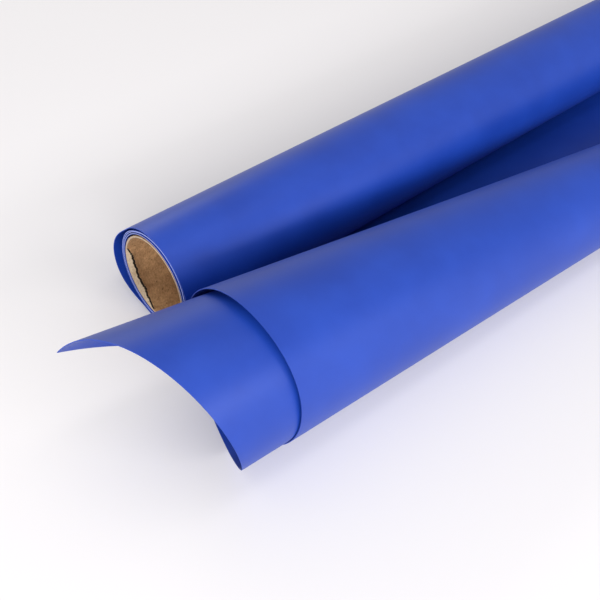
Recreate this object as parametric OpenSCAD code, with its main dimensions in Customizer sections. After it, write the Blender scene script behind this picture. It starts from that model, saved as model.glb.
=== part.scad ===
// Backdrop paper roll lying on the floor: a sheet wound on a cardboard core, its last turn slack,
// its free end running forward along the floor and curling up into a loose conical scroll.
// The origin is the middle of the core's bore. +X runs along the core, +Y points away from the scroll.
// All sizes are in millimetres.

/* [Sheet] */
// Width of the sheet, from edge to edge
sheet_w = 600; // [450:5:800]
// Thickness of the sheet
sheet_t = 0.4; // [0.3:0.05:0.6]

/* [Core] */
// Outside diameter of the cardboard tube
core_d = 52.3; // [40:0.1:80]
// Thickness of one ply of board
ply_t = 0.25; // [0.2:0.05:0.6]
// Glue film between two plies
glue_t = 0.05; // [0.02:0.01:0.1]
// How far the tube stands out of the winding at each end
core_proud = 0; // [0:0.5:10]

/* [Wound turns] */
// Turns of sheet lying snugly on the core
wound_turn_count = 3; // [2:1:6]
// Air between one turn and the next
turn_gap = 0.42; // [0.41:0.01:0.8]
// Clearance between the core and the innermost turn
core_gap = 0.8; // [0.25:0.05:1.5]

/* [Loose outer turn] */
// Running clearance between the wound turns and the loose one
run_gap = 0.3; // [0.25:0.05:1]
// How far the slack stands off, low at the back
bulge = 9.5; // [0:0.5:16]
// Where it stands off most, measured from the floor up the back, in degrees
bulge_mid = 70; // [60:1:90]
// Arc from there down to where the slack begins, in degrees
bulge_below = 51; // [40:1:55]
// Arc from there up to where the slack ends, in degrees
bulge_above = 68; // [50:1:90]

/* [Front scroll] */
// Outside radius of the scroll at the sheet's left edge
scroll_r_left = 42.5; // [30:0.5:50]
// Outside radius of the scroll at the sheet's right edge
scroll_r_right = 14; // [13:0.5:28]
// How quickly the radius falls from left to right, 1 for a straight cone
scroll_flare = 1.15; // [1:0.05:2.2]
// Space between the scroll and the roll at the left edge
stand_off = 17.4; // [1:0.1:40]
// How far the sheet has run to the left where it reaches the scroll
drift = 15.5; // [0:0.5:30]
// How much further the scroll lies from the roll at the right edge
skew = 44; // [20:0.5:90]
// Air between one turn of the scroll and the next
scroll_gap = 0.5; // [0.45:0.05:0.8]
// How far the inner turns have sunk at the top
scroll_sag = 2.6; // [0:0.1:5]
// How far the left edge has slipped out after one turn
slip_left = 15.5; // [5:0.5:35]
// How far the left edge would lead in over a turn before it slips, because the scroll lies askew
lead_left = 39; // [0:0.5:60]
// How quickly the slip grows from turn to turn
slip_growth = 1.7; // [1.5:0.1:2.6]
// How far the right edge has slipped in after one turn
slip_right = 0.5; // [0:0.1:1]
// Length of sheet in the scroll, measured at the left edge
scroll_len = 470; // [360:2:520]
// Length of the scroll's wide part, from the sheet's left edge
wide_part = 290; // [240:10:340]
// Joint line between the flat stretch and the scroll
seam_gap = 0.3; // [0.2:0.05:0.5]

/* [Hidden] */

// Ends of the sheet along the core, and where it reaches the scroll
left_x = -sheet_w / 2;
right_x = sheet_w / 2;
scroll_left_x = left_x - drift;
scroll_right_x = right_x - drift;

// Core: plies counted from the inside, each a glue film away from the next
core_r = core_d / 2;
ply_count = 4;
ply_step = ply_t + glue_t;
bore_r = core_r - ply_count * ply_t - (ply_count - 1) * glue_t;
core_len = sheet_w + 2 * core_proud;

// Winding: angles run from the floor up the back, over the top and down the front
turn_steps = 48;
turn_pitch = sheet_t + turn_gap;
wound_in_r = core_r + core_gap;
wound_out_r = wound_in_r + wound_turn_count * turn_pitch + sheet_t;
loose_in_r = wound_out_r + run_gap;
axis_h = loose_in_r + turn_pitch + sheet_t;
floor_z = -axis_h;

// Scroll: angles run from the floor up the front, over the top and down the back
scroll_step = 15;
stations = 4;
scroll_pitch = sheet_t + scroll_gap;
front_r = loose_turn_r(270) + sheet_t;
span_left = front_r + stand_off + scroll_r_left;
// Where the wide part of the scroll ends and the narrow part begins
part_x = scroll_left_x + wide_part;
// Width of the strip left at the end of a part where its rows stop
tail_w = 30;
// Furthest that the left edge can have slipped, for the search
slip_limit = 200;
scroll_low = scroll_left_x - slip_limit;
bisections = 30;

sheet_colour = "#3D58C4";
kraft_colour = "#9C7446";
board_colour = "#CDB489";

// Root of a falling function, by halving
function root(f, low, high, n = bisections) =
    n == 0 ? (low + high) / 2 :
    let (middle = (low + high) / 2)
    f(middle) > 0 ? root(f, middle, high, n - 1) : root(f, low, middle, n - 1);

// Inner face of the wound turns, from their outer end inwards
function wound_turn_r(a) = wound_in_r + turn_pitch * (wound_turn_count - a / 360);

// How far an angle is from the middle of the slack, as a share of the slack's arc on that side
function slack_share(a) =
    min(1, abs(a - bulge_mid) / (a < bulge_mid ? bulge_below : bulge_above));

// Inner face of the loose turn, from the floor round to its inner end
function loose_turn_r(a) =
    loose_in_r + turn_pitch * (1 - a / 360)
    + bulge * pow(cos(90 * slack_share(a)), 2);

// A point of the winding in the plane across the core, as [y, z]
function wound_point(a, r) = [r * sin(a), -r * cos(a)];

// The closed outline of a wound strip
function strip(radius, turns) =
    let (angles = [for (i = [0:turns * turn_steps]) i * 360 / turn_steps])
    concat(
        [for (a = angles) wound_point(a, radius(a))],
        [for (i = [len(angles) - 1:-1:0]) wound_point(angles[i], radius(angles[i]) + sheet_t)]);

// Where the flat stretch ends and the scroll begins
function floor_y(x) = -span_left - skew * (x - scroll_left_x) / sheet_w;

// Outside radius of the scroll where it leaves the floor
function scroll_r(x) =
    scroll_r_right
    + (scroll_r_left - scroll_r_right) * pow(max(0, scroll_right_x - x) / sheet_w, scroll_flare);

// Outer face of the scroll at an angle, with the inner turns sunk at the top
function scroll_face_r(a, x) =
    scroll_r(x) - scroll_pitch * a / 360
    - (a > 360 ? scroll_sag * (1 - cos(a)) / 2 : 0);

// A point of the scroll, depth below its outer face
function scroll_point(a, x, depth) =
    let (r = scroll_face_r(a, x) - depth)
    [x, floor_y(x) - r * sin(a), floor_z + scroll_r(x) - r * cos(a)];

// Angle at which the sheet's length runs out, from the arc length of a spiral
function cut_angle(x) =
    let (
        r = scroll_r(x) - sheet_t / 2,
        rate = scroll_pitch / (4 * PI),
        left_over = scroll_len - skew * (x - scroll_left_x) / sheet_w)
    (r - sqrt(r * r - 4 * rate * left_over)) / (2 * rate) * 180 / PI;

function left_edge(a) =
    scroll_left_x + lead_left * a / 360 - (slip_left + lead_left) * pow(a / 360, slip_growth);
function right_edge(a) = scroll_right_x - slip_right * pow(a / 360, 2);
function cut_edge(a) = root(function (x) a - cut_angle(x), scroll_low, scroll_right_x);

// The free corner, where the left edge meets the cut end
corner_a = root(function (a) cut_angle(left_edge(a)) - a, 180, 1080);

// Rows of one part of the scroll: every step, the free corner and the last row
function rows_to(x) =
    let (last = cut_angle(x - tail_w))
    concat(
        [for (a = [0:scroll_step:corner_a - 1]) a],
        [corner_a],
        [for (a = [ceil((corner_a + 1) / scroll_step) * scroll_step:scroll_step:last - 1]) a],
        [last]);
wide_rows = rows_to(part_x);
narrow_rows = rows_to(scroll_right_x);

function row_left(a) = a <= corner_a ? left_edge(a) : cut_edge(a);
function row_x(a, low, high, i) =
    let (from = max(low, row_left(a)), to = min(high, right_edge(a)))
    from + (to - from) * i / stations;

// Points of one part of the scroll, from low to high: the outer face row by row, then the inner face
row_len = stations + 1;
function part_points(rows, low, high) = [
    for (depth = [0, sheet_t], a = rows, i = [0:stations])
        scroll_point(a, row_x(a, low, high, i), depth)];

function two(a, b, c, d) = [[a, b, c], [a, c, d]];
function part_faces(row_count) =
    let (face_len = row_count * row_len)
    [
        for (j = [0:row_count - 2], i = [0:stations - 1])
            let (p = j * row_len + i, q = p + row_len)
            each concat(
                two(p, p + 1, q + 1, q),
                two(face_len + p, face_len + q, face_len + q + 1, face_len + p + 1)),
        for (j = [0:row_count - 2], side = [0, 1])
            let (p = j * row_len + side * stations, q = p + row_len)
            each side == 0
                ? two(p, q, face_len + q, face_len + p)
                : two(p, face_len + p, face_len + q, q),
        for (i = [0:stations - 1], end = [0, 1])
            let (p = end * (row_count - 1) * row_len + i)
            each end == 0
                ? two(p, face_len + p, face_len + p + 1, p + 1)
                : two(p, p + 1, face_len + p + 1, face_len + p)];

// Least gap of each winding to itself, measured on its points
wound_gaps = [
    for (i = [turn_steps:wound_turn_count * turn_steps])
        let (a = i * 360 / turn_steps)
        norm(wound_point(a, wound_turn_r(a) + sheet_t) - wound_point(a - 360, wound_turn_r(a - 360)))];
loose_gap = norm(wound_point(360, loose_turn_r(360) + sheet_t) - wound_point(0, loose_turn_r(0)));
function part_gaps(rows, low, high) = [
    for (a = rows, i = [0:stations])
        if (a > 360)
            let (x = row_x(a, low, high, i))
            norm(scroll_point(a, x, 0) - scroll_point(a - 360, x, sheet_t))];
scroll_gaps = concat(
    part_gaps(wide_rows, scroll_low, part_x),
    part_gaps(narrow_rows, part_x, scroll_right_x));
echo(least_gap_wound_turns = min(wound_gaps));
echo(least_gap_loose_outer_turn = loose_gap);
echo(least_gap_scroll = min(scroll_gaps));

// One ply of the tube, counted from the bore
module ply(index, colour) {
    inner_r = bore_r + index * ply_step;
    color(colour)
    rotate([0, 90, 0])
    difference() {
        cylinder(h = core_len, r = inner_r + ply_t, center = true, $fn = 96);
        cylinder(h = core_len + 2, r = inner_r, center = true, $fn = 96);
    }
}

module core_liner_ply() {
    ply(0, kraft_colour);
}

module core_second_ply() {
    ply(1, board_colour);
}

module core_third_ply() {
    ply(2, board_colour);
}

module core_outer_ply() {
    ply(3, kraft_colour);
}

// A strip wound about the core, extruded over the sheet's width
module winding(outline) {
    color(sheet_colour)
    rotate([90, 0, 90])
    linear_extrude(height = sheet_w, center = true)
    polygon(outline);
}

module wound_turns() {
    winding(strip(function (a) wound_turn_r(a), wound_turn_count));
}

module loose_outer_turn() {
    winding(strip(function (a) loose_turn_r(a), 1));
}

module floor_span() {
    color(sheet_colour)
    translate([0, 0, floor_z])
    linear_extrude(height = sheet_t)
    polygon([
        [left_x, 0],
        [scroll_left_x, floor_y(scroll_left_x) + seam_gap],
        [scroll_right_x, floor_y(scroll_right_x) + seam_gap],
        [right_x, 0]]);
}

// One part of the scroll, between two places along the core
module scroll_part(rows, low, high) {
    color(sheet_colour)
    polyhedron(points = part_points(rows, low, high), faces = part_faces(len(rows)), convexity = 10);
}

module scroll_wide_part() {
    scroll_part(wide_rows, scroll_low, part_x);
}

module scroll_narrow_part() {
    scroll_part(narrow_rows, part_x, scroll_right_x);
}

core_liner_ply();
core_second_ply();
core_third_ply();
core_outer_ply();
wound_turns();
loose_outer_turn();
floor_span();
scroll_wide_part();
scroll_narrow_part();
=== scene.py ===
import math
import bpy
import numpy as np
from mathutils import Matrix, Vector, noise


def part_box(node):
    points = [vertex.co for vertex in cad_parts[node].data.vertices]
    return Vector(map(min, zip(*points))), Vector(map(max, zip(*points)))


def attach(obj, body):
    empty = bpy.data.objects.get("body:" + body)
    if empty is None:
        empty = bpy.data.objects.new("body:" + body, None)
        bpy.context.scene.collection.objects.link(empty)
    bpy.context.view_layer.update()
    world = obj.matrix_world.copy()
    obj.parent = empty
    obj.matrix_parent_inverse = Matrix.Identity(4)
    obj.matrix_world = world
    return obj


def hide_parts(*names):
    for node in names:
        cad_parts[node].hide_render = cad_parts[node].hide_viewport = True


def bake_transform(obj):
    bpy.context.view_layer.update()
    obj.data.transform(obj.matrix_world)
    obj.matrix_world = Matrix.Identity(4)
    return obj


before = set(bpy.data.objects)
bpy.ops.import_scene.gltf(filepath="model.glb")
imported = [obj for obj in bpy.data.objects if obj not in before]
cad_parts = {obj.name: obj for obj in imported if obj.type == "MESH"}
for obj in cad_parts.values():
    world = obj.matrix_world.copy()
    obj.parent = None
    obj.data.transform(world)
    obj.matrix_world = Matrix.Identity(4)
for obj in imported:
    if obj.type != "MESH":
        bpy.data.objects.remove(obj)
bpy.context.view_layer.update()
mm = 0.001
print("frame loaded:", len(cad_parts), "nodes")

# The camera, at the photograph's viewing angle
photoView = {
    "place": (-0.50137, -0.34802, 0.34346),  # metres, in the object's frame
    "heading": 41.439,  # degrees, turned from +Y towards +X
    "pitch": 42.258,  # degrees below the horizon
    "focal": 58,  # mm
    "sensor": 36,  # mm
    "nearest": 0.01,  # metres, what is closer isn't drawn
}


def makeCamera():
    lens = bpy.data.cameras.new("photoView")
    lens.lens = photoView["focal"]
    lens.sensor_width = photoView["sensor"]
    lens.clip_start = photoView["nearest"]
    camera = bpy.data.objects.new("photoView", lens)
    camera.location = photoView["place"]
    tilt = math.radians(90 - photoView["pitch"])
    camera.rotation_euler = (tilt, 0, -math.radians(photoView["heading"]))
    bpy.context.scene.collection.objects.link(camera)
    bpy.context.scene.camera = camera


makeCamera()
print("camera made")


# Helpers for the finishes
def hexLinear(code):  # the sRGB curve, undone
    parts = [int(code[i:i + 2], 16) / 255 for i in (1, 3, 5)]
    return [c / 12.92 if c <= 0.04045 else ((c + 0.055) / 1.055) ** 2.4 for c in parts] + [1]


def addNode(tree, kind, feeds=None, **settings):
    node = tree.nodes.new(kind)
    for name, value in settings.items():
        setattr(node, name, value)
    for socket, value in (feeds or {}).items():
        if isinstance(value, bpy.types.NodeSocket):
            tree.links.new(value, node.inputs[socket])
        else:
            node.inputs[socket].default_value = value
    return node


def startMaterial(name):
    material = bpy.data.materials.new(name)
    material.use_nodes = True
    tree = material.node_tree
    tree.nodes.clear()
    surface = addNode(tree, "ShaderNodeBsdfPrincipled")
    addNode(tree, "ShaderNodeOutputMaterial", {"Surface": surface.outputs[0]})
    return material, tree, surface


# Wood-free paper, dyed blue, calendered and satin coated: a deep even blue with a broad soft sheen,
# faint clouds where the coat took unevenly, and a very fine tooth
coatedPaper = {
    "deep": "#10389A",
    "light": "#143EA4",
    "cloud": 38,  # mm across one cloud of the coat
    "tones": (0.35, 0.65),  # of the clouds' noise, from deep to light
    "glosses": (0.3, 0.7),  # of the same noise, from smooth to rough
    "smooth": 0.44,
    "rough": 0.48,
    "tooth": 0.6,  # mm, drawn three times coarser than the real tooth so that it shows
    "toothDepth": 0.012,  # mm
    "toothRelief": 0.35,  # how strongly it is shaded, 1 for fully
    "ior": 1.5,
}


def coatedPaperBlue():
    finish = coatedPaper
    material, tree, surface = startMaterial("coatedPaperBlue")
    place = addNode(tree, "ShaderNodeTexCoord").outputs["Object"]
    cloud = addNode(tree, "ShaderNodeTexNoise",
                    {"Vector": place, "Scale": 1 / (finish["cloud"] * mm), "Detail": 5, "Roughness": 0.6})
    tooth = addNode(tree, "ShaderNodeTexNoise",
                    {"Vector": place, "Scale": 1 / (finish["tooth"] * mm), "Detail": 3})
    tone = addNode(tree, "ShaderNodeMapRange",
                   {"Value": cloud.outputs["Fac"], "From Min": finish["tones"][0],
                    "From Max": finish["tones"][1]})
    tint = addNode(tree, "ShaderNodeMix",
                   {"Factor": tone.outputs["Result"], "A": hexLinear(finish["deep"]),
                    "B": hexLinear(finish["light"])}, data_type="RGBA")
    gloss = addNode(tree, "ShaderNodeMapRange",
                    {"Value": cloud.outputs["Fac"], "From Min": finish["glosses"][0],
                     "From Max": finish["glosses"][1], "To Min": finish["smooth"],
                     "To Max": finish["rough"]})
    relief = addNode(tree, "ShaderNodeBump",
                     {"Height": tooth.outputs["Fac"], "Strength": finish["toothRelief"],
                      "Distance": finish["toothDepth"] * mm})
    tree.links.new(tint.outputs["Result"], surface.inputs["Base Color"])
    tree.links.new(gloss.outputs["Result"], surface.inputs["Roughness"])
    tree.links.new(relief.outputs["Normal"], surface.inputs["Normal"])
    surface.inputs["IOR"].default_value = finish["ior"]
    return material


# The same paper where the knife went through it: the dye hasn't reached the middle, so the cut is pale,
# matt and a little hairy
cutPaper = {
    "dark": "#7486D4",
    "pale": "#9AA6E0",
    "clump": 0.5,  # mm between clumps of fibre
    "detail": 4,  # finer layers of noise in one clump
    "rough": 0.8,
}

# The slack turn's edge, worn by handling: dye and coat have closed over half of the cut
wornPaper = dict(cutPaper, dark="#2C4AAE", pale="#4560BE")

# The free end's edge, handled most: the cut is nearly as blue as the sheet
handledPaper = dict(cutPaper, dark="#1C3E9E", pale="#2C4CAC")

# Painted shadow in the gap under a torn ply: nearly black brown, with a dull gloss
paintedShadowFinish = {
    "dark": "#0E0805",
    "pale": "#2A1B10",
    "clump": 0.8,  # mm across one mottle
    "detail": 3,
    "rough": 0.55,
}


def clumpedFinish(name, finish):
    material, tree, surface = startMaterial(name)
    place = addNode(tree, "ShaderNodeTexCoord").outputs["Object"]
    clumps = addNode(tree, "ShaderNodeTexNoise",
                     {"Vector": place, "Scale": 1 / (finish["clump"] * mm), "Detail": finish["detail"]})
    tint = addNode(tree, "ShaderNodeMix",
                   {"Factor": clumps.outputs["Fac"], "A": hexLinear(finish["dark"]),
                    "B": hexLinear(finish["pale"])}, data_type="RGBA")
    tree.links.new(tint.outputs["Result"], surface.inputs["Base Color"])
    surface.inputs["Roughness"].default_value = finish["rough"]
    return material


# Unbleached kraft board, wound in a helix and glued: brown, matt and mottled, with clumps of fibre
# along the strip, dark specks of shive and a seam each time the strip comes round; greyer where it is sawn
kraftBoard = {
    "brown": "#9A744E",
    "tan": "#C79C6E",
    "shive": "#6A4A30",
    "sawn": "#A8937C",
    "blotch": 5,  # mm across one mottle
    "streak": 1,  # mm between clumps of fibre, drawn twice as coarse as real ones so that they show
    "stretch": 1.6,  # length of a clump over its width
    "tones": (0.82, 1.18),  # of the mottles' and the clumps' noise added up, from brown to tan
    "speck": 0.9,  # mm between specks, drawn twice as coarse as real ones so that they show
    "specks": (0.63, 0.72),  # of their noise, from bare board to a full speck
    "strip": 84,  # mm, width of the wound strip
    "seam": 0.7,  # mm, width of its seam
    "helix": 58,  # degrees between the strip and the tube's length
    "facing": 0.7,  # how squarely a face looks along the tube to count as sawn, 1 for fully
    "reliefDepth": 0.05,  # mm between clumps and hollows
    "relief": 0.5,  # how strongly it is shaded, 1 for fully
    "rough": 0.86,
}

# Pale chipboard between the kraft plies: cream, matt and woolly where it is sawn or torn
chipBoard = dict(kraftBoard, brown="#D2B994", tan="#EFDDC2", shive="#B0926E", sawn="#B7A48E", streak=0.8)


def helixPlace(tree, radius, degrees):
    place = addNode(tree, "ShaderNodeTexCoord").outputs["Object"]
    axes = addNode(tree, "ShaderNodeSeparateXYZ", {"Vector": place})
    around = addNode(tree, "ShaderNodeMath",
                     {0: axes.outputs["Y"], 1: axes.outputs["Z"]}, operation="ARCTAN2")
    arc = addNode(tree, "ShaderNodeMath", {0: around.outputs[0], 1: radius}, operation="MULTIPLY")
    flat = addNode(tree, "ShaderNodeCombineXYZ", {"X": axes.outputs["X"], "Y": arc.outputs[0]})
    turned = addNode(tree, "ShaderNodeMapping",
                     {"Vector": flat.outputs["Vector"], "Rotation": (0, 0, math.radians(degrees))})
    return turned.outputs["Vector"]


def woundBoard(name, finish, radius):
    material, tree, surface = startMaterial(name)
    place = addNode(tree, "ShaderNodeTexCoord").outputs["Object"]
    along = helixPlace(tree, radius, finish["helix"])
    drawn = addNode(tree, "ShaderNodeVectorMath",
                    {0: along, 1: (1 / finish["stretch"], 1, 1)}, operation="MULTIPLY")
    blotch = addNode(tree, "ShaderNodeTexNoise",
                     {"Vector": place, "Scale": 1 / (finish["blotch"] * mm), "Detail": 6,
                      "Roughness": 0.65})
    streak = addNode(tree, "ShaderNodeTexNoise",
                     {"Vector": drawn.outputs[0], "Scale": 1 / (finish["streak"] * mm), "Detail": 4,
                      "Roughness": 0.7})
    speck = addNode(tree, "ShaderNodeTexNoise",
                    {"Vector": drawn.outputs[0], "Scale": 1 / (finish["speck"] * mm), "Detail": 2})
    mixed = addNode(tree, "ShaderNodeMath",
                    {0: blotch.outputs["Fac"], 1: streak.outputs["Fac"]}, operation="ADD")
    tone = addNode(tree, "ShaderNodeMapRange",
                   {"Value": mixed.outputs[0], "From Min": finish["tones"][0],
                    "From Max": finish["tones"][1]})
    ground = addNode(tree, "ShaderNodeMix",
                     {"Factor": tone.outputs["Result"], "A": hexLinear(finish["brown"]),
                      "B": hexLinear(finish["tan"])}, data_type="RGBA")
    isSpeck = addNode(tree, "ShaderNodeMapRange",
                      {"Value": speck.outputs["Fac"], "From Min": finish["specks"][0],
                       "From Max": finish["specks"][1]})
    split = addNode(tree, "ShaderNodeSeparateXYZ", {"Vector": along})
    turn = addNode(tree, "ShaderNodeMath",
                   {0: split.outputs["Y"], 1: finish["strip"] * mm}, operation="FLOORED_MODULO")
    isSeam = addNode(tree, "ShaderNodeMath",
                     {0: turn.outputs[0], 1: finish["seam"] * mm}, operation="LESS_THAN")
    dark = addNode(tree, "ShaderNodeMath",
                   {0: isSpeck.outputs["Result"], 1: isSeam.outputs[0]},
                   operation="MAXIMUM", use_clamp=True)
    wall = addNode(tree, "ShaderNodeMix",
                   {"Factor": dark.outputs[0], "A": ground.outputs["Result"],
                    "B": hexLinear(finish["shive"])}, data_type="RGBA")
    facing = addNode(tree, "ShaderNodeSeparateXYZ",
                     {"Vector": addNode(tree, "ShaderNodeNewGeometry").outputs["True Normal"]})
    square = addNode(tree, "ShaderNodeMath", {0: facing.outputs["X"]}, operation="ABSOLUTE")
    isSawn = addNode(tree, "ShaderNodeMath",
                     {0: square.outputs[0], 1: finish["facing"]}, operation="GREATER_THAN")
    tint = addNode(tree, "ShaderNodeMix",
                   {"Factor": isSawn.outputs[0], "A": wall.outputs["Result"],
                    "B": hexLinear(finish["sawn"])}, data_type="RGBA")
    height = addNode(tree, "ShaderNodeMath",
                     {0: mixed.outputs[0], 1: isSeam.outputs[0]}, operation="SUBTRACT")
    relief = addNode(tree, "ShaderNodeBump",
                     {"Height": height.outputs[0], "Strength": finish["relief"],
                      "Distance": finish["reliefDepth"] * mm})
    tree.links.new(tint.outputs["Result"], surface.inputs["Base Color"])
    tree.links.new(relief.outputs["Normal"], surface.inputs["Normal"])
    surface.inputs["Roughness"].default_value = finish["rough"]
    return material


coreRadius = -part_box("core_outer_ply")[0].z  # metres, from the axis to the underside
paper = coatedPaperBlue()
stackEdge = clumpedFinish("cutPaperStack", cutPaper)
slackEdge = clumpedFinish("wornPaperEdge", wornPaper)
freeEdge = clumpedFinish("handledPaperEdge", handledPaper)
kraft = woundBoard("kraftBoardWound", kraftBoard, coreRadius)
chip = woundBoard("chipBoardWound", chipBoard, coreRadius)
# painted shadow: the nearly black finish of the line under the torn liner's edge
glue = clumpedFinish("paintedShadowBrown", paintedShadowFinish)
for node, finish in {"core_liner_ply": kraft, "core_second_ply": chip,
                     "core_third_ply": chip, "core_outer_ply": kraft}.items():
    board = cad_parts[node]
    board.data.materials.clear()
    board.data.materials.append(finish)
print("finishes made")

# What all stretches of the sheet share
sheet = {
    "left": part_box("wound_turns")[0].x / mm,
    "right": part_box("wound_turns")[1].x / mm,
    "floor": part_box("floor_span")[0].z / mm,
    "thick": 0.4,  # mm
    "step": 3,  # degrees of a turn from row to row
    "sharp": 50,  # degrees, a bend past this is shaded as an edge
}
sheetWide = sheet["right"] - sheet["left"]


# A thin sheet from two grids of points: its two faces, and the cut edges between them
def sheetMesh(name, front, back, faceFinish, edgeFinish):
    front = np.asarray(front, float) * mm
    back = np.asarray(back, float) * mm
    rows, columns = front.shape[:2]
    count = rows * columns
    corner = np.arange(count).reshape(rows, columns)
    quads = np.stack([corner[:-1, :-1], corner[:-1, 1:], corner[1:, 1:], corner[1:, :-1]], -1)
    quads = quads.reshape(-1, 4)
    rim = np.concatenate([corner[0, :-1], corner[:-1, -1], corner[-1, :0:-1], corner[:0:-1, 0]])
    after = np.roll(rim, -1)
    strip = np.stack([after, rim, rim + count, after + count], -1)
    faces = np.concatenate([quads, quads[:, ::-1] + count, strip])
    mesh = bpy.data.meshes.new(name)
    points = np.concatenate([front.reshape(-1, 3), back.reshape(-1, 3)])
    mesh.from_pydata(points.tolist(), [], faces.tolist())
    mesh.materials.append(faceFinish)
    mesh.materials.append(edgeFinish)
    cut = np.zeros(len(faces), np.int32)
    cut[-len(strip):] = 1
    mesh.polygons.foreach_set("material_index", cut)
    mesh.polygons.foreach_set("use_smooth", np.ones(len(faces), bool))
    mesh.set_sharp_from_angle(angle=math.radians(sheet["sharp"]))
    mesh.update()
    piece = bpy.data.objects.new(name, mesh)
    bpy.context.scene.collection.objects.link(piece)
    return piece


# Points of a winding about the core: angles run from the floor up the back and over the top
def windingRows(angles, radius, columns):
    stations = np.linspace(sheet["left"], sheet["right"], columns)
    across, angle = np.meshgrid(stations, np.radians(angles))
    r = np.asarray(radius)[:, None]
    return np.stack([across, r * np.sin(angle), -r * np.cos(angle)], -1)


# The snug turns: the innermost hugs the core, the others lie loose low at the back
# and stand off together over the top and the front
snugTurns = {
    "turns": 3,
    "clear": 0.5,  # mm between the core and the innermost turn
    "tight": 0.41,  # mm from turn to turn at the front, as close as the paper lies
    "loose": 0.42,  # mm more low at the back
    "looseMiddle": 75,  # degrees from the floor up the back
    "looseArc": 50,  # degrees to each side of it, all loose
    "looseFade": 40,  # degrees further, over which they close up
    "stand": 2.2,  # mm that the outer turns stand off
    "standMiddle": 215,  # degrees
    "standArc": 110,  # degrees to each side of it
    "hug": 0.4,  # turns at the inner end that don't stand off at all
    "ease": 0.6,  # turns after them, which stand off more and more
    "columns": 41,
}


def swell(angle, middle, flat, fade):  # 1 about the middle, easing to 0 on both sides
    away = np.abs((angle - middle + 180) % 360 - 180)
    return np.cos(np.pi / 2 * np.clip((away - flat) / fade, 0, 1)) ** 2


def makeSnugTurns():
    turns = snugTurns
    angles = np.arange(0, turns["turns"] * 360 + 1, sheet["step"])
    left = turns["turns"] - angles / 360
    pitch = turns["tight"] + turns["loose"] * swell(
        angles, turns["looseMiddle"], turns["looseArc"], turns["looseFade"])
    stand = turns["stand"] * swell(angles, turns["standMiddle"], 0, turns["standArc"])
    stand = stand * np.clip((left - turns["hug"]) / turns["ease"], 0, 1)
    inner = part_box("core_outer_ply")[1].z / mm + turns["clear"] + pitch * left + stand
    front = windingRows(angles, inner + sheet["thick"], turns["columns"])
    back = windingRows(angles, inner, turns["columns"])
    piece = sheetMesh("snug_turns", front, back, paper, stackEdge)
    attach(piece, "wound_roll")
    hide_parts("wound_turns")


# The last turn, slack low at the back, where it stands off the roll and leaves a crescent gap
lastTurn = {
    "inner": 30.11,  # mm, inside radius at its inner end
    "pitch": 0.82,  # mm further out after one turn
    "bulge": 9.5,  # mm that the slack stands off
    "middle": 70,  # degrees from the floor up the back
    "below": 51,  # degrees of slack below the middle
    "above": 68,  # degrees of slack above it
    "columns": 61,
}


def makeLastTurn():
    turn = lastTurn
    angles = np.arange(0, 361, sheet["step"])
    span = np.where(angles < turn["middle"], turn["below"], turn["above"])
    share = np.minimum(1, np.abs(angles - turn["middle"]) / span)
    inner = turn["inner"] + turn["pitch"] * (1 - angles / 360)
    inner = inner + turn["bulge"] * np.cos(np.pi / 2 * share) ** 2
    front = windingRows(angles, inner + sheet["thick"], turn["columns"])
    back = windingRows(angles, inner, turn["columns"])
    piece = sheetMesh("slack_outer_turn", front, back, paper, slackEdge)
    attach(piece, "free_sheet")
    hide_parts("loose_outer_turn")


# The front scroll: angles run from the floor up the front, over the top and down the back
frontScroll = {
    "leftRadius": 42.5,  # mm, outside radius at the sheet's left edge
    "rightRadius": 14,  # mm, at the right edge
    "flare": 1.15,  # how quickly the radius falls, 1 for a straight cone
    "floorLine": 90.615,  # mm in front of the core's axis, where the left edge leaves the floor
    "skew": 44,  # mm further out at the right edge
    "drift": 15.5,  # mm that the sheet has run to the left on its way there
    "pitch": 0.62,  # mm from turn to turn, as close as they lie underneath
    "sag": 3,  # mm that the inner turns have sunk at the top
    "slip": 15.5,  # mm that the left edge has slipped out after one turn
    "lead": 39,  # mm that it would lead in over a turn before it slips, because the scroll lies askew
    "growth": 1.7,  # how quickly the slip grows
    "tuck": 8.5,  # mm that the left edge is drawn in where it passes underneath
    "tuckMiddle": 305,  # degrees
    "tuckBefore": 150,  # degrees over which it is drawn in
    "tuckAfter": 135,  # degrees over which it comes out again
    "rightSlip": 0.5,  # mm that the right edge has slipped in after one turn
    "length": 473,  # mm of sheet in the scroll at the left edge
    "curl": 1.8,  # mm that the outer turn stands off along its left edge
    "curlMiddle": 145,  # degrees
    "curlArc": 15,  # degrees to each side of it, all curled
    "curlFade": 65,  # degrees further, over which it lies down
    "curlWide": 22,  # mm in from the edge over which that dies away
    "tail": 30,  # mm, width of the last row, at the right edge
    "step": 5,  # degrees from row to row
    "apart": 1,  # degree, a row closer than this to the free corner is left out
    "cornerSought": (180, 1080),  # degrees between which the free corner lies
    "endSought": 200,  # mm left of the left edge's start, as far as the sheet's end can lie
    "columns": 64,
}


def acrossShare(x):
    return (x - sheet["left"] + frontScroll["drift"]) / sheetWide


def floorLine(x):
    return -frontScroll["floorLine"] - frontScroll["skew"] * acrossShare(x)


def scrollRadius(x):
    wide, narrow = frontScroll["leftRadius"], frontScroll["rightRadius"]
    return narrow + (wide - narrow) * np.maximum(0, 1 - acrossShare(x)) ** frontScroll["flare"]


def scrollPoints(angle, x, depth):
    scroll = frontScroll
    turn = np.radians(angle)
    sunk = np.where(angle > 360, scroll["sag"] * ((1 - np.cos(turn)) / 2) ** 2, 0)
    r = scrollRadius(x) - scroll["pitch"] * angle / 360 - sunk - depth
    lifted = swell(angle, scroll["curlMiddle"], scroll["curlArc"], scroll["curlFade"]) * (angle < 360)
    r = r + scroll["curl"] * lifted * np.exp(-(x - leftEdge(angle)) / scroll["curlWide"])
    height = sheet["floor"] + scrollRadius(x) - r * np.cos(turn)
    return np.stack([x, floorLine(x) - r * np.sin(turn), height], -1)


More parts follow.
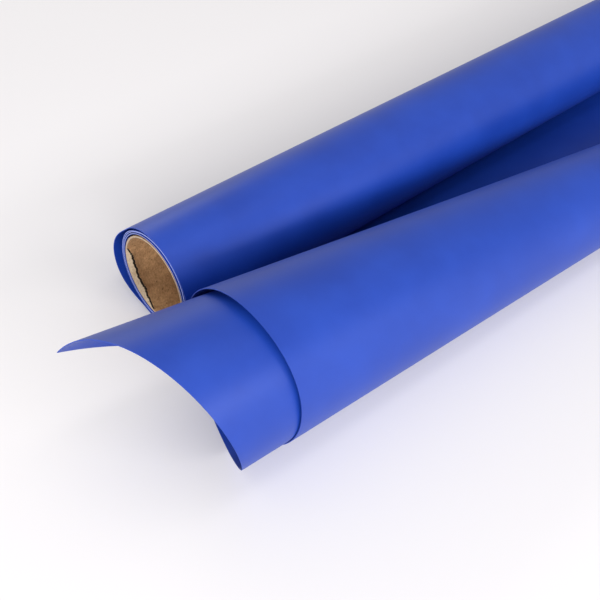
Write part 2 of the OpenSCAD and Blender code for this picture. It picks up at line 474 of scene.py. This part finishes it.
def cutAngle(x):  # where the sheet's length runs out, from the arc length of a spiral
    r = scrollRadius(x) - sheet["thick"] / 2
    rate = frontScroll["pitch"] / (4 * math.pi)
    length = frontScroll["length"] - frontScroll["skew"] * acrossShare(x)
    return np.degrees((r - np.sqrt(r * r - 4 * rate * length)) / (2 * rate))


def leftEdge(angle):
    scroll = frontScroll
    turns = angle / 360
    slip = scroll["slip"] + scroll["lead"]
    start = sheet["left"] - scroll["drift"]
    fade = np.where(angle < scroll["tuckMiddle"], scroll["tuckBefore"], scroll["tuckAfter"])
    share = np.minimum(1, np.abs(angle - scroll["tuckMiddle"]) / fade)
    tuck = scroll["tuck"] * np.cos(np.pi / 2 * share) ** 2
    return start + tuck + scroll["lead"] * turns - slip * turns ** scroll["growth"]


def rightEdge(angle):
    return sheet["right"] - frontScroll["drift"] - frontScroll["rightSlip"] * (angle / 360) ** 2


def fallingRoot(f, low, high, halvings=40):  # where f, falling from low to high, passes 0
    for _ in range(halvings):
        middle = (low + high) / 2
        low, high = (middle, high) if f(middle) > 0 else (low, middle)
    return (low + high) / 2


def makeFrontScroll():
    scroll = frontScroll
    corner = fallingRoot(lambda a: cutAngle(leftEdge(a)) - a, *scroll["cornerSought"])
    last = cutAngle(rightEdge(0) - scroll["tail"])
    angles = np.arange(0, last, scroll["step"])
    angles = angles[np.abs(angles - corner) > scroll["apart"]]
    angles = np.sort(np.append(angles, [corner, last]))
    farLeft = leftEdge(0) - scroll["endSought"]
    starts = [leftEdge(a) if a <= corner
              else fallingRoot(lambda x: a - cutAngle(x), farLeft, rightEdge(0)) for a in angles]
    starts = np.array(starts)[:, None]
    ends = rightEdge(angles)[:, None]
    x = starts + (ends - starts) * np.linspace(0, 1, scroll["columns"])
    angle = np.broadcast_to(angles[:, None], x.shape)
    front = scrollPoints(angle, x, 0)
    back = scrollPoints(angle, x, sheet["thick"])
    piece = sheetMesh("front_scroll_sheet", front, back, paper, freeEdge)
    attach(piece, "scroll")
    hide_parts("scroll_wide_part", "scroll_narrow_part")
    print("front scroll:", len(angles), "rows, free corner at", round(float(corner)), "degrees")


# The flat stretch on the floor between the roll and the scroll
floorStretch = {
    "rows": 25,
    "columns": 61,
}


def makeFloorStretch():
    x = np.linspace(sheet["left"], sheet["right"], floorStretch["columns"])
    share = np.linspace(0, 1, floorStretch["rows"])[:, None]
    across = x - share * frontScroll["drift"]
    y = share * floorLine(x - frontScroll["drift"])
    under = np.stack([across, y, np.full_like(y, sheet["floor"])], -1)
    top = under + (0, 0, sheet["thick"])
    piece = sheetMesh("floor_stretch", under, top, paper, freeEdge)
    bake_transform(piece)
    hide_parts("floor_span")


makeSnugTurns()
makeLastTurn()
makeFrontScroll()
makeFloorStretch()
print("paper made")


# Inside the near end of the core the liner is torn away: a strip of pale board shows there,
# and behind it the torn liner stands off the wall, with a painted shadow, a nearly black line, on the wall
# under its ragged edge
tornLiner = {
    "from": 10,  # degrees from the floor up the back
    "to": 106,
    "lowFade": 0.3,  # share of its length over which the tear runs out at the bottom
    "highFade": 0.16,  # and at the top
    "deep": 2.7,  # mm of liner gone, from the core's end
    "shallow": 0.1,  # mm of it gone where the tear has run out
    "ragged": 1.1,  # mm that the tear wanders
    "tear": 2.4,  # mm between the larger tears
    "largeRow": 3.1,  # row of the noise that gives them
    "finer": 4,  # smaller tears to one larger, half as deep
    "fineRow": 7.7,  # row of the noise that gives them
    "lift": 1.1,  # mm that the torn liner stands off at its edge
    "flap": 5,  # mm over which it comes down to the wall again
    "thick": 0.15,  # mm, of each skin
    "glue": 2.6,  # mm, width of the painted shadow line
    "bared": 0.9,  # mm of it that the torn edge leaves uncovered
    "ply": 0.25,  # mm, thickness of the liner ply
    "boardOff": 0.05,  # mm that the bare board stands off the wall, so that it shows
    "glueOff": 0.08,  # mm, the painted shadow
    "flapOff": 0.1,  # mm, the flap where it has come down
    "rows": 121,
    "columns": 7,
}


def boreStrip(name, angles, x, r, finish):
    turn = np.radians(angles)[:, None]
    outer = np.stack([x, r * np.sin(turn), -r * np.cos(turn)], -1)
    r = r - tornLiner["thick"]
    inner = np.stack([x, r * np.sin(turn), -r * np.cos(turn)], -1)
    piece = sheetMesh(name, inner, outer, finish, finish)
    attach(piece, "core")
    return piece


def tearWander(s):
    large = noise.noise(Vector((s, tornLiner["largeRow"], 0)))
    small = noise.noise(Vector((s * tornLiner["finer"], tornLiner["fineRow"], 0)))
    return large + small / 2


def makeTornLiner():
    torn = tornLiner
    low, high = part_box("core_liner_ply")
    end = low.x / mm
    bore = high.z / mm - torn["ply"]
    angles = np.linspace(torn["from"], torn["to"], torn["rows"])
    wander = np.array([tearWander(s) for s in np.radians(angles) * bore / torn["tear"]])
    share = np.linspace(0, 1, torn["rows"])
    taper = np.minimum(1, np.minimum(share / torn["lowFade"], (1 - share) / torn["highFade"]))
    edge = np.maximum(torn["shallow"], taper * (torn["deep"] + torn["ragged"] * wander))[:, None]
    across = np.linspace(0, 1, torn["columns"])
    wall = np.full((torn["rows"], torn["columns"]), bore)
    bare = boreStrip("bare_board_strip", angles, end + edge * across, wall - torn["boardOff"], chip)
    # painted shadow: a nearly black strip on the bore wall just beyond the torn edge, where the lifted
    # liner's shade falls
    glued = end + edge + torn["glue"] * across
    line = boreStrip("old_glue_line", angles, glued, wall - torn["glueOff"], glue)
    lifted = end + edge + torn["bared"] + torn["flap"] * across
    stand = torn["flapOff"] + torn["lift"] * taper[:, None] * (1 - across) ** 2
    flap = boreStrip("torn_liner_flap", angles, lifted, wall - stand, kraft)


makeTornLiner()
print("core dressed")

# A plain pale floor under an even grey dome, with low strip softboxes in front, to the left and behind,
# and a weak one overhead
studio = {
    "floor": "#E7E4E5",
    "floorRough": 0.9,
    "floorSize": 8,  # metres
    "dome": "#FFFFFF",
    "domeStrength": 0.54,
    "strips": {  # metres and watts
        "frontStrip": {"place": (-0.18, -2.03, 0.82), "wide": 1.6, "tall": 0.35, "power": 21},
        "leftStrip": {"place": (-1.53, -1.28, 0.93), "wide": 1.8, "tall": 0.26, "power": 35},
        "backStrip": {"place": (0, 1.94, 1.03), "wide": 1.6, "tall": 0.5, "power": 11},
        "topStrip": {"place": (0, -0.57, 2.12), "wide": 1.6, "tall": 0.5, "power": 4.5},
    },
}


def softLight(name, place, wide, tall, power):
    lamp = bpy.data.lights.new(name, "AREA")
    lamp.shape = "RECTANGLE"
    lamp.size = wide
    lamp.size_y = tall
    lamp.energy = power
    light = bpy.data.objects.new(name, lamp)
    light.location = place
    light.rotation_euler = (-Vector(place)).to_track_quat("-Z", "Y").to_euler()
    bpy.context.scene.collection.objects.link(light)


def makeFloor():
    half = studio["floorSize"] / 2
    level = sheet["floor"] * mm
    corners = [(-half, -half, level), (half, -half, level), (half, half, level), (-half, half, level)]
    mesh = bpy.data.meshes.new("studio_floor")
    mesh.from_pydata(corners, [], [(0, 1, 2, 3)])
    material, tree, surface = startMaterial("mattPaintedFloor")
    surface.inputs["Base Color"].default_value = hexLinear(studio["floor"])
    surface.inputs["Roughness"].default_value = studio["floorRough"]
    mesh.materials.append(material)
    floor = bpy.data.objects.new("studio_floor", mesh)
    bpy.context.scene.collection.objects.link(floor)


def makeLight():
    world = bpy.data.worlds.new("greyDome")
    world.use_nodes = True
    dome = world.node_tree.nodes["Background"]
    dome.inputs["Color"].default_value = hexLinear(studio["dome"])
    dome.inputs["Strength"].default_value = studio["domeStrength"]
    bpy.context.scene.world = world
    bpy.context.scene.view_settings.view_transform = "Standard"
    for name, strip in studio["strips"].items():
        softLight(name, **strip)


makeFloor()
makeLight()
print("studio made")
